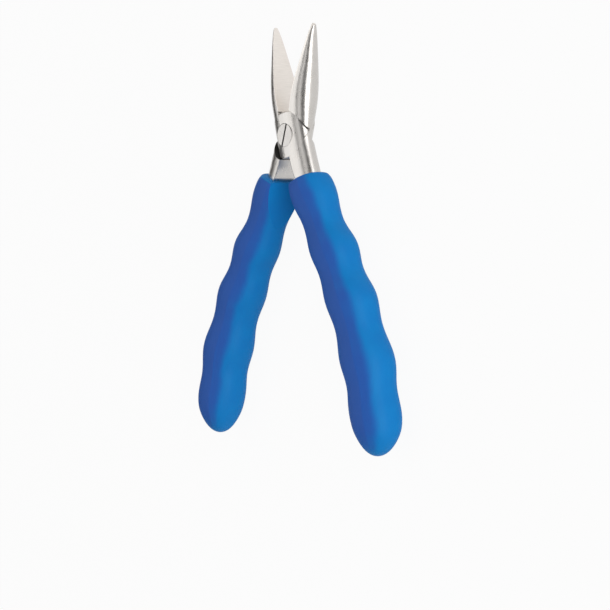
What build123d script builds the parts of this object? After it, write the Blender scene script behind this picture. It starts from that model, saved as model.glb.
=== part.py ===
from build123d import *
import math
import os

# Needle nose pliers, lap-joint pattern, lying on their side with the jaws open.
# Both levers are one shape: the rear lever is the front one turned half round about the long axis.
# A lever is drawn with the jaws closed, the pivot at the origin, the jaws towards +Y, the handles
# towards -Y and the screw head towards +Z. Lengths are in millimetres, angles in degrees.

# Opening
half_opening = 15.95          # turn of each lever from closed to the pose in which the pliers rest

# Jaws
jaw_length = 38.3             # pivot to the start of the tip's nose
jaw_relief = 0.64             # gap from one grip face to the centre plane, at the pivot
tip_gap = 0.03                # the same gap at the tip, with the jaws closed
jaw_edge_round = 0.19         # edges of the grip face, before it is ground
grinding = 0.04               # taken off the grip face to make it flat
relief_width = 0.4            # groove between the grip face and the lap, clear of the lap's rim
relief_depth = 0.4
tip_nose_length = 0.6         # short taper at the very tip
tip_nose_share = 0.55         # the tip's end as a share of the section before it
# stations along a jaw: distance from the pivot as a share of the length, width, half thickness
jaw_stations = [
    (0.0, 7.3, 4.5),
    (0.215, 6.7, 4.75),
    (0.35, 6.15, 5.05),
    (0.51, 5.2, 4.6),
    (0.70, 3.65, 3.4),
    (0.885, 1.95, 2.1),
    (1.0, 1.05, 0.9),
]

# Lap joint
lap_radius = 8.15
lap_edge_round = 0.9
lap_clearance = 0.02          # between the two lap faces
pocket_clearance = 0.6        # between a lap's rim and the other lever's shoulders
neck_root_inner = 0.30        # inner face of the neck, beside the pivot

# Pivot screw
head_radius = 4.0
head_height = 2.0
head_top = 4.5                # its face, above the lap faces
head_edge_round = 0.15
head_clearance = 0.06         # around the head in its counterbore
slot_width = 0.8
slot_depth = 0.9
slot_turn = -18.0             # of the slot, from the pliers' long axis
shank_radius = 2.5
shank_clearance = 0.04        # running fit in the front lever
thread_radius = 2.25
thread_end = 4.0              # screw's far end, below the lap faces

# Necks, from the lap to the mouth of the grip: distance below the pivot, inner face, width, half thickness
neck_edge_round = 0.45
neck_stations = [
    (0.0, neck_root_inner, 7.8, 4.5),
    (9.5, 0.48, 7.8, 4.5),
    (14.0, 1.05, 7.6, 4.5),
    (17.0, 1.9, 6.9, 4.4),
]
# Tang inside the grip: distance below the pivot, width, half thickness
tang_edge_round = 0.45
tang_stations = [
    (24.0, 5.4, 3.5),
    (36.0, 4.8, 3.1),
    (66.0, 4.4, 2.9),
    (99.0, 3.6, 2.4),
]

# Grips
grip_mouth = 16.6             # pivot to the mouth, along the pliers
grip_end = 114.0              # pivot to the far end
mouth_tilt = 6.0              # of the mouth, from square to the pliers' long axis
mouth_tilt_run = 9.0          # length over which the sections turn square to the handle
lip_inset = 1.5               # the rim is drawn in by this
lip_length = 3.6
grip_end_length = 10.0        # length of the rounded end
grip_end_sweep = 82.0         # of the quarter round the end follows; the rest is a small flat
grip_flatness = 0.88          # thickness as a share of width
grip_squareness = 2.4         # exponent of the section, 2 is an ellipse
closed_gap = 0.3              # of each grip's flat from the centre plane, where the closed grips meet
bow = (2.86, 12.05, 23.37, 14.25)     # control values of the handle line's distance from the centre plane
# finger waves: distance below the pivot and half width, at each crest and each hollow
outer_waves = [
    (16.0, 7.9), (23.9, 8.2), (35.0, 6.5), (45.1, 8.4), (53.4, 7.1), (63.5, 8.95), (73.0, 7.8),
    (85.2, 9.6), (94.3, 8.15), (102.2, 9.0), (116.0, 7.4),
]
inner_waves = [
    (15.0, 7.8), (20.0, 8.1), (29.9, 7.0), (40.7, 8.25), (48.3, 7.65), (58.1, 8.75), (68.4, 7.9),
    (79.7, 9.05), (89.0, 8.1), (96.7, 8.8), (112.0, 6.7),
]
grip_half_points = 11         # points along half a section
grip_section_step = 3.1       # spacing of the grip's sections
lip_sections = 5              # sections along the rounded rim
lip_crowding = 1.5            # exponent that crowds them towards the rim
end_sections = 8
slope_step = 0.01             # over which the handle line's slope is measured

FRONT = 1                     # the front lever's handle lies towards +X, its jaw towards -X


def d_section(y, inner, width, depth, edge_round, side):
    """A D-shaped face square to Y: flat on the inside at x = inner, half an ellipse outside."""
    plane = Plane(origin=(side * inner, y, 0), x_dir=(side, 0, 0), z_dir=(0, -side, 0))
    flat = depth - edge_round
    outline = [
        Line((0, -flat), (0, flat)),
        ThreePointArc(
            (0, flat),
            (edge_round * (1 - math.sqrt(0.5)), flat + edge_round * math.sqrt(0.5)),
            (edge_round, depth),
        ),
        EllipticalCenterArc((edge_round, 0), width - edge_round, depth, start_angle=90, arc_size=-180),
        ThreePointArc(
            (edge_round, -depth),
            (edge_round * (1 - math.sqrt(0.5)), -flat - edge_round * math.sqrt(0.5)),
            (0, -flat),
        ),
    ]
    return plane * make_face(Curve() + outline)


def jaw():
    """The jaw: a tapering half-round bar with a flat grip face, on the far side from its handle."""
    sections = []
    for share, width, depth in jaw_stations:
        inner = jaw_relief + (tip_gap - jaw_relief) * share - grinding
        sections.append(d_section(jaw_length * share, inner, width, depth, jaw_edge_round, -FRONT))
    nose = [d_section(jaw_length + k * tip_nose_length, inner, width * share, depth * share,
                      jaw_edge_round * share, -FRONT)
            for k, share in enumerate((1, tip_nose_share))]
    face_angle = math.degrees(math.atan2(jaw_relief - tip_gap, jaw_length))
    room = 3 * jaw_length
    ground = Pos(-FRONT * jaw_relief, 0, 0) * Rot(0, 0, -FRONT * face_angle) * Box(
        room, room, room, align=(Align.MAX, Align.CENTER, Align.CENTER))
    return (loft(sections) + loft(nose)) & ground


def handle_line(y):
    """Distance of the handle's centre line from the centre plane, at y below the pivot."""
    t = (-y - grip_mouth) / (grip_end - grip_mouth)
    weights = ((1 - t) ** 3, 3 * t * (1 - t) ** 2, 3 * t * t * (1 - t), t ** 3)
    return sum(w * b for w, b in zip(weights, bow))


def handle_slope(y):
    """Angle of the handle's centre line from the long axis, positive where it runs outwards."""
    rise = handle_line(y - slope_step) - handle_line(y + slope_step)
    return math.degrees(math.atan2(rise, 2 * slope_step))


def neck():
    """The neck, from beside the pivot to the mouth of the grip."""
    sections = [d_section(-down, inner, width, depth, neck_edge_round, FRONT)
                for down, inner, width, depth in neck_stations]
    return loft(sections)


def tang():
    """The tang inside the grip: it goes on from the neck and follows the handle line."""
    down, inner, width, depth = neck_stations[-1]
    sections = [d_section(-down, inner, width, depth, neck_edge_round, FRONT)]
    for down, width, depth in tang_stations:
        inner = handle_line(-down) - width / 2
        sections.append(d_section(-down, inner, width, depth, tang_edge_round, FRONT))
    return loft(sections)


def lap():
    """The front half of the joint: a round puck under the levers' rounded outside."""
    root_width, root_depth = jaw_stations[0][1:]
    neck_width, neck_depth = neck_stations[0][2:]
    jaw_side = extrude(
        d_section(lap_radius, jaw_relief, root_width, root_depth, jaw_edge_round, -FRONT),
        2 * lap_radius, dir=(0, -1, 0))
    neck_side = extrude(
        d_section(lap_radius, neck_root_inner, neck_width, neck_depth, neck_edge_round, FRONT),
        2 * lap_radius, dir=(0, -1, 0))
    crown = min(root_depth, neck_depth)
    overlap = jaw_edge_round + neck_edge_round
    middle = Pos(neck_root_inner / 2 - jaw_relief / 2, 0, 0) * Box(
        jaw_relief + neck_root_inner + 2 * overlap, 2 * lap_radius, 2 * crown)
    puck = Cylinder(lap_radius, crown, align=(Align.CENTER, Align.CENTER, Align.MIN))
    puck = fillet(puck.edges().sort_by(Axis.Z)[-1], lap_edge_round)
    face = Pos(0, 0, lap_clearance / 2) * Box(
        4 * lap_radius, 4 * lap_radius, 2 * crown, align=(Align.CENTER, Align.CENTER, Align.MIN))
    return (jaw_side + middle + neck_side) & puck & face


def pocket():
    """The room that the other lever's lap turns in."""
    depth = 3 * lap_radius
    return Pos(0, 0, lap_clearance / 2) * Cylinder(
        lap_radius + pocket_clearance, depth, align=(Align.CENTER, Align.CENTER, Align.MAX))


def relief_groove():
    """The groove that parts the grip face from the lap, so that the face ends square."""
    reach = 3 * lap_radius
    return Pos(-FRONT * (jaw_relief + relief_depth), lap_radius + relief_width, 0) * Box(
        2 * jaw_relief + relief_depth, lap_radius / 2, reach, align=(Align.MIN, Align.MAX, Align.CENTER))


def plain_lever():
    """A lever before its screw hole, jaws closed, its lap on the +Z side."""
    return (jaw() + neck() + tang()) - pocket() - relief_groove() + lap()


def screw_seat():
    """The counterbore and running hole in the front lever."""
    top = 2 * head_top
    bore = Cylinder(shank_radius + shank_clearance, top)
    counterbore = Pos(0, 0, head_top - head_height) * Cylinder(
        head_radius + head_clearance, top, align=(Align.CENTER, Align.CENTER, Align.MIN))
    return bore + counterbore


def pivot_screw():
    """The slotted screw: head, running shank, and the thread that holds it in the rear lever."""
    head = Pos(0, 0, head_top - head_height) * Cylinder(
        head_radius, head_height, align=(Align.CENTER, Align.CENTER, Align.MIN))
    head = fillet(head.edges().sort_by(Axis.Z)[-1], head_edge_round)
    shank = Cylinder(shank_radius, head_top - head_height, align=(Align.CENTER, Align.CENTER, Align.MIN))
    thread = Cylinder(thread_radius, thread_end, align=(Align.CENTER, Align.CENTER, Align.MAX))
    slot = Pos(0, 0, head_top) * Rot(0, 0, slot_turn) * Box(slot_width, 3 * head_radius, 2 * slot_depth)
    return head + shank + thread - slot


def wave(points, down):
    """Half width between listed crests and hollows, eased so that each of them is level."""
    for (start, first), (end, last) in zip(points, points[1:]):
        if down <= end:
            break
    share = min(max((down - start) / (end - start), 0), 1)
    return first + (last - first) * (1 - math.cos(math.pi * share)) / 2


def grip_section(down, inset=0.0, share=1.0):
    """One closed section of a grip, drawn in by inset and scaled by share about the handle line."""
    y = -down
    centre = handle_line(y)
    tilt_share = min((down - grip_mouth) / mouth_tilt_run, 1)
    tilt = math.radians(mouth_tilt + (handle_slope(y) - mouth_tilt) * tilt_share)
    outer = wave(outer_waves, down)
    inner = wave(inner_waves, down)
    thickness = (grip_flatness * (outer + inner) / 2 - inset) * share
    outward = Vector(math.cos(tilt), math.sin(tilt), 0)
    halves = []
    for side, width in ((1, outer), (-1, inner)):
        points = []
        for k in range(grip_half_points):
            angle = math.pi * (k / (grip_half_points - 1) - 0.5)
            across = side * math.cos(angle) ** (2 / grip_squareness)
            up = side * math.copysign(abs(math.sin(angle)) ** (2 / grip_squareness), angle)
            reach = (width - inset) * share * across
            points.append(Vector(centre, y, thickness * up) + outward * reach)
        halves.append(Spline(points, tangents=(outward * side, outward * -side)))
    return Face(Wire(halves))


def grip_outside():
    """The outside of a grip: lip, finger waves and rounded end, flat where the closed grips meet."""
    sections = []
    for k in range(lip_sections):
        share = k / lip_sections
        inset = lip_inset * (1 - math.sqrt(1 - (1 - share) ** 2))
        sections.append(grip_section(grip_mouth + lip_length * share ** lip_crowding, inset=inset))
    start = grip_mouth + lip_length
    stop = grip_end - grip_end_length
    count = round((stop - start) / grip_section_step)
    for k in range(count):
        sections.append(grip_section(start + (stop - start) * k / count))
    for k in range(end_sections):
        angle = math.radians(grip_end_sweep) * k / (end_sections - 1)
        sections.append(grip_section(stop + grip_end_length * math.sin(angle), share=math.cos(angle)))
    own_side = Pos(closed_gap, 0, 0) * Box(
        grip_end, 3 * grip_end, grip_end, align=(Align.MIN, Align.CENTER, Align.CENTER))
    return loft(sections) & own_side


def open_front(shape):
    """Turn the front lever's pieces from closed to the rest pose."""
    return Rot(0, 0, half_opening) * shape


def open_rear(shape):
    """Turn a copy half round about the long axis and open it the other way."""
    return Rot(0, 0, -half_opening) * Rot(0, 180, 0) * shape


lever = plain_lever()
grip = grip_outside() - (tang() + neck())
screw = pivot_screw()
thread_hole = Cylinder(thread_radius, 6 * head_top)

pieces = {
    "front_lever": open_front(lever - screw_seat()),
    "rear_lever": open_rear(lever - thread_hole),
    "pivot_screw": screw,
    "grip_right": open_front(grip),
    "grip_left": open_rear(grip),
}

# The part's origin: under the middle of the whole tool, at the level of what it lies on.
boxes = [piece.bounding_box() for piece in pieces.values()]
middle_x = (min(b.min.X for b in boxes) + max(b.max.X for b in boxes)) / 2
middle_y = (min(b.min.Y for b in boxes) + max(b.max.Y for b in boxes)) / 2
bottom = min(b.min.Z for b in boxes)
to_origin = Pos(-middle_x, -middle_y, -bottom)
print(f"pivot at x {-middle_x:.4f}, y {-middle_y:.4f}, lap faces at z {-bottom:.4f}")

os.makedirs("parts", exist_ok=True)
for name, piece in pieces.items():
    export_step(to_origin * piece.solid(), f"parts/{name}.step")
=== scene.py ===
import math

import bpy
from mathutils import Matrix, Vector

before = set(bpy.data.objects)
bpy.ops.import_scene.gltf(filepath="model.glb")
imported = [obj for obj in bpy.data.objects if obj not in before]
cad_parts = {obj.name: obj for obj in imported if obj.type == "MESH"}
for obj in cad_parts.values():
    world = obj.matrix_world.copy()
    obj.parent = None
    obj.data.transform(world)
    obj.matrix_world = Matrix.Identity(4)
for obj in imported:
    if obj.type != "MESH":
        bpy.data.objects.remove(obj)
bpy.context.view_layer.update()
scene = bpy.context.scene


# ---- Camera ------------------------------------------------------------------------------------
# A long lens looks at the open pliers from the right handle's side, well above what they lie on,
# with the jaws at the top of the frame and the handles running down it.
pivot = Vector((0.0, 0.0341014, 0.0080297))
camera_turn = math.radians(52.990)
camera_pitch = math.radians(2.539)
camera_distance = 0.669306
camera_shift_right = 0.003537   # of the camera from the pivot, along its own axes
camera_shift_down = 0.05793

right = Vector((math.cos(camera_turn), 0, -math.sin(camera_turn)))
up = Vector((
    -math.sin(camera_pitch) * math.sin(camera_turn),
    math.cos(camera_pitch),
    -math.sin(camera_pitch) * math.cos(camera_turn),
))
back = right.cross(up)

lens = bpy.data.cameras.new("camera")
lens.sensor_width = 36.0
lens.lens = 115.605
lens.clip_start = 0.05
lens.clip_end = 20.0
camera = bpy.data.objects.new("camera", lens)
turn = Matrix((right, up, back)).transposed().to_4x4()
camera_place = pivot + camera_shift_right * right - camera_shift_down * up + camera_distance * back
camera.matrix_world = Matrix.Translation(camera_place) @ turn
scene.collection.objects.link(camera)
scene.camera = camera
scene.view_settings.view_transform = "Standard"


# ---- Front lever -------------------------------------------------------------------------------
# One drop forging of stainless tool steel: a half-round jaw, half of the lap joint, a neck, and a
# tang inside the grip. The back is tumbled to a satin, the grip face is ground flat across.
half_opening = 15.95          # degrees that each lever is turned open
steel_shade = (0.56, 0.535, 0.505, 1)
steel_light = (0.64, 0.62, 0.60, 1)
steel_scratch = (0.50, 0.475, 0.44, 1)
ground_steel = (0.84, 0.79, 0.74, 1)
# painted shade: near-black painted into the joint's pocket wall and into the screw's slot
painted_shade_black = (0.010, 0.009, 0.008, 1)
painted_shade_metal_loss = 0.9          # how far the painted shade hides the metal under it
face_band = (0.9, 0.6)        # mm from the closed line, where the grip face ends and is full
face_start = (8.0, 8.6)       # mm above the pivot, where it begins
pocket_inner = (8.3, 8.5)     # mm from the pivot, on either side of the pocket's wall
pocket_outer = (9.2, 9.0)


class Wire:
    """A shader socket that can be used in sums."""

    def __init__(self, finish, socket):
        self.finish = finish
        self.socket = socket

    def math(self, operation, *values):
        return self.finish.node("ShaderNodeMath", {"operation": operation}, dict(enumerate(values)))

    def __add__(self, other):
        return self.math("ADD", self, other)

    def __radd__(self, other):
        return self.math("ADD", other, self)

    def __sub__(self, other):
        return self.math("SUBTRACT", self, other)

    def __rsub__(self, other):
        return self.math("SUBTRACT", other, self)

    def __mul__(self, other):
        return self.math("MULTIPLY", self, other)

    def __rmul__(self, other):
        return self.math("MULTIPLY", other, self)

    def other(self, name):
        """Another output of the node that this one comes from."""
        return Wire(self.finish, self.socket.node.outputs[name])


class Finish:
    """The nodes of one material or of the world, made one at a time."""

    def __init__(self, name, tree=None):
        if tree is None:
            self.material = bpy.data.materials.new(name)
            self.material.use_nodes = True
            tree = self.material.node_tree
        self.tree = tree
        self.tree.nodes.clear()

    def node(self, kind, settings=None, inputs=None, output=0):
        made = self.tree.nodes.new(kind)
        for key, value in (settings or {}).items():
            setattr(made, key, value)
        for key, value in (inputs or {}).items():
            if isinstance(value, Wire):
                self.tree.links.new(value.socket, made.inputs[key])
            else:
                made.inputs[key].default_value = value
        return Wire(self, made.outputs[output]) if made.outputs else None

    def place_on_lever(self, angle):
        """Millimetres from the pivot: across the lever, along it, and above the lap faces."""
        return self.node("ShaderNodeMapping", {"vector_type": "TEXTURE"}, {
            "Vector": self.node("ShaderNodeTexCoord", output="Object"),
            "Location": pivot, "Rotation": (0, 0, math.radians(angle)), "Scale": (0.001, 0.001, 0.001)})

    def stretched(self, place, scale):
        return self.node("ShaderNodeVectorMath", {"operation": "MULTIPLY"}, {0: place, 1: scale})

    def noise(self, place, scale, detail=2.0):
        return self.node("ShaderNodeTexNoise", None, {"Vector": place, "Scale": scale, "Detail": detail})

    def step(self, value, start, end):
        """0 at start, 1 at end, eased between."""
        return self.node("ShaderNodeMapRange", {"interpolation_type": "SMOOTHSTEP"}, {
            "Value": value, "From Min": start, "From Max": end})

    def mix(self, share, first, second):
        return self.node("ShaderNodeMix", {"data_type": "RGBA"}, {0: share, 6: first, 7: second}, output=2)

    def bump(self, height, strength):
        return self.node("ShaderNodeBump", None, {"Strength": strength, "Distance": 0.0001, "Height": height})

    def close(self, shader):
        self.node("ShaderNodeOutputMaterial", None, {"Surface": shader})
        return self.material


def lever_steel(name, angle):
    """Satin stainless: tumbled grain, faint draw lines on the backs, cross grinding on the grip face."""
    f = Finish(name)
    place = f.place_on_lever(angle)
    across = f.node("ShaderNodeSeparateXYZ", None, {0: place})
    along = across.other("Y")
    tumbled = f.noise(place, 9.0, 4.0)
    cloud = f.noise(place, 0.35, 2.0)
    drawn = f.noise(f.stretched(place, (3.0, 0.12, 3.0)), 1.0, 3.0)
    ground = f.noise(f.stretched(place, (0.5, 7.0, 0.25)), 1.0, 3.0)
    # the grip face lies close to the closed line, from the lap to the tip
    face = f.step(across.math("ABSOLUTE", across), *face_band) * f.step(along, *face_start)
    grain = drawn * (1 - face) + ground * face
    forged = f.mix(cloud, steel_shade, steel_light)
    clean = f.mix(face, forged, ground_steel)
    bare = f.mix(f.step(grain, 0.35, 0.75) * 0.25, clean, steel_scratch)
    # the wall of the joint's pocket faces the pivot, and painted shade blackens it where the recess lies in
    # shadow
    from_pivot = f.stretched(f.place_on_lever(0.0), (1, 1, 0))
    outward = f.node("ShaderNodeVectorMath", {"operation": "NORMALIZE"}, {0: from_pivot})
    facing = f.node("ShaderNodeTexCoord", output="Normal")
    away = f.node("ShaderNodeVectorMath", {"operation": "DOT_PRODUCT"}, {0: outward, 1: facing},
                  output="Value")
    radius = f.node("ShaderNodeVectorMath", {"operation": "LENGTH"}, {0: from_pivot}, output="Value")
    pocket_painted_shade = f.step(away, -0.85, -0.95) * f.step(radius, *pocket_outer) * f.step(radius, *pocket_inner)
    # painted shade: the pocket wall is mixed to near-black
    colour = f.mix(pocket_painted_shade, bare, painted_shade_black)
    rough = 0.24 + 0.10 * cloud + 0.10 * (grain - 0.5) + 0.08 * face
    shader = f.node("ShaderNodeBsdfPrincipled", None, {
        "Base Color": colour, "Metallic": 1 - painted_shade_metal_loss * pocket_painted_shade, "Roughness": rough + 0.3 * pocket_painted_shade,
        "Normal": f.bump(tumbled * 0.5 + grain * 0.8, 0.12)})
    return f.close(shader)


def dress(name, material):
    """Gives a CAD node its finish."""
    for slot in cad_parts[name].material_slots:
        slot.material = material


dress("front_lever", lever_steel("front_lever_steel", half_opening))


# ---- Rear lever --------------------------------------------------------------------------------
# The second forging: the same shape turned over, with the screw's thread cut in its half of the lap.
# It is finished as the front one is, with its grain running along its own jaw and handle.
dress("rear_lever", lever_steel("rear_lever_steel", -half_opening))


# ---- Pivot screw -------------------------------------------------------------------------------
# A slotted screw of turned steel, flush in its counterbore, screwed into the rear lever. Turning
# leaves fine rings round its head, and the slot is darkened with painted shade.
turned_shade = (0.56, 0.535, 0.51, 1)
slot_level = (4.40, 4.0)      # mm above the lap faces, where the painted shade in the slot begins and is full


def screw_steel():
    """Turned steel, with painted shade going black inside the slot and down the screw's hidden sides."""
    f = Finish("turned_screw_steel")
    place = f.place_on_lever(0.0)
    height = f.node("ShaderNodeSeparateXYZ", None, {0: place}, output=2)
    rings = f.node("ShaderNodeTexWave", {"wave_type": "RINGS", "rings_direction": "Z"}, {
        "Vector": place, "Scale": 2.2, "Distortion": 0.6, "Detail": 2.0})
    cloud = f.noise(place, 0.9, 2.0)
    slot_painted_shade = f.step(height, *slot_level)
    # painted shade: the slot's colour goes to near-black below the head
    colour = f.mix(slot_painted_shade, f.mix(cloud, turned_shade, steel_light), painted_shade_black)
    shader = f.node("ShaderNodeBsdfPrincipled", None, {
        "Base Color": colour, "Metallic": 1 - painted_shade_metal_loss * slot_painted_shade, "Roughness": 0.30 + 0.08 * cloud,
        "Normal": f.bump(rings, 0.08)})
    return f.close(shader)


dress("pivot_screw", screw_steel())


# ---- Grips -------------------------------------------------------------------------------------
# Two sleeves of blue vinyl, moulded with finger waves and pushed over the tangs. The skin is satin,
# with a fine pebble from the mould, and a deeper violet-blue painted shade where it faces up.
blue_shade = (0.0, 0.18, 0.54, 1)
blue_light = (0.0, 0.23, 0.60, 1)
# painted shade: violet-blue for the skin that faces up
blue_painted_shade = (0.022, 0.085, 0.42, 1)
painted_shade_from = 0.55              # upward part of the skin's facing, where the painted shade begins
painted_shade_share = 0.85


def grip_vinyl(name, angle):
    """Satin blue vinyl with a slow change of tone, a fine pebble and painted shade on the upward faces."""
    f = Finish(name)
    place = f.place_on_lever(angle)
    facing = f.node("ShaderNodeTexCoord", output="Normal")
    upward = f.node("ShaderNodeSeparateXYZ", None, {0: facing}, output=2)
    cloud = f.noise(place, 0.16, 2.0)
    pebble = f.noise(place, 5.0, 3.0)
    # painted shade: the skin turns violet-blue where it faces up
    upward_painted_shade = f.step(upward + 0.25 * (cloud - 0.5), painted_shade_from, 1.0)
    colour = f.mix(upward_painted_shade * painted_shade_share, f.mix(cloud, blue_shade, blue_light), blue_painted_shade)
    shader = f.node("ShaderNodeBsdfPrincipled", None, {
        "Base Color": colour, "Roughness": 0.52 + 0.10 * cloud, "Normal": f.bump(pebble, 0.10),
        "Specular IOR Level": 0.22})
    return f.close(shader)


dress("grip_right", grip_vinyl("right_grip_vinyl", half_opening))
dress("grip_left", grip_vinyl("left_grip_vinyl", -half_opening))


# ---- Floor and light ---------------------------------------------------------------------------
# The pliers lie on a white sweep under a white sky, between two softboxes. Three dark cards, above
# and on both sides, are seen only in the steel, which gets its dark lines from them.
white = (1, 1, 1, 1)
floor_glow = 0.94             # share of the floor's look that is plain white; the rest holds the shadow
room_light = 0.35             # strength of the sky as a light
card_reach = 0.6              # of each card to either side, along the pliers


def seen_as_background(f):
    """1 for what the camera sees, directly, in a reflection or through glass."""
    path = f.node("ShaderNodeLightPath")
    reflected = path.math("MAXIMUM", path, path.other("Is Glossy Ray"))
    return path.math("MAXIMUM", reflected, path.other("Is Transmission Ray"))


def white_floor():
    """White paper that holds the shadow, and glows for the camera so that it shows as white."""
    f = Finish("white_sweep")
    paper = f.node("ShaderNodeBsdfDiffuse", None, {"Color": (0.8, 0.8, 0.8, 1)})
    glow = f.node("ShaderNodeEmission", None, {"Color": white, "Strength": 1.0})
    lit = f.node("ShaderNodeMixShader", None, {0: floor_glow, 1: paper, 2: glow})
    return f.close(f.node("ShaderNodeMixShader", None, {0: seen_as_background(f), 1: paper, 2: lit}))


bpy.ops.object.select_all(action="DESELECT")
bpy.ops.mesh.primitive_plane_add(size=6.0, location=(0, 0, 0))
floor = bpy.context.object
floor.name = "floor"
floor.data.materials.append(white_floor())

world = bpy.data.worlds.new("studio")
world.use_nodes = True
scene.world = world
sky = Finish("studio", world.node_tree)
dim = sky.node("ShaderNodeBackground", None, {"Color": white, "Strength": room_light})
bright = sky.node("ShaderNodeBackground", None, {"Color": white, "Strength": 1.0})
sky.node("ShaderNodeOutputWorld", None, {
    "Surface": sky.node("ShaderNodeMixShader", None, {0: seen_as_background(sky), 1: dim, 2: bright})})


def dark_card(name, start, end):
    """A black card along the pliers, from one (x, z) to another, seen only in reflections."""
    f = Finish(name)
    black = f.close(f.node("ShaderNodeBsdfDiffuse", None, {"Color": (0.02, 0.02, 0.02, 1)}))
    mesh = bpy.data.meshes.new(name)
    (x1, z1), (x2, z2) = start, end
    corners = [(x1, -card_reach, z1), (x1, card_reach, z1), (x2, card_reach, z2), (x2, -card_reach, z2)]
    mesh.from_pydata(corners, [], [(0, 1, 2, 3)])
    mesh.materials.append(black)
    card = bpy.data.objects.new(name, mesh)
    scene.collection.objects.link(card)
    card.visible_camera = False
    card.visible_diffuse = False
    card.visible_shadow = False


dark_card("camera_side_card", (0.17, 0.34), (0.42, 0.24))
dark_card("top_card", (-0.07, 0.50), (0.02, 0.50))
dark_card("left_card", (-0.15, 0.0), (-0.16, 0.09))


def soft_light(name, place, size, power):
    """A softbox aimed at the middle of the pliers."""
    lamp = bpy.data.lights.new(name, "AREA")
    lamp.shape = "RECTANGLE"
    lamp.size, lamp.size_y = size
    lamp.energy = power
    made = bpy.data.objects.new(name, lamp)
    made.location = place
    made.rotation_euler = (-Vector(place)).to_track_quat("-Z", "Y").to_euler()
    scene.collection.objects.link(made)


soft_light("right_softbox", (0.90, 0.0, 0.22), (1.4, 1.0), 9.5)
soft_light("left_softbox", (-0.50, 0.1, 0.60), (1.1, 1.1), 1.6)
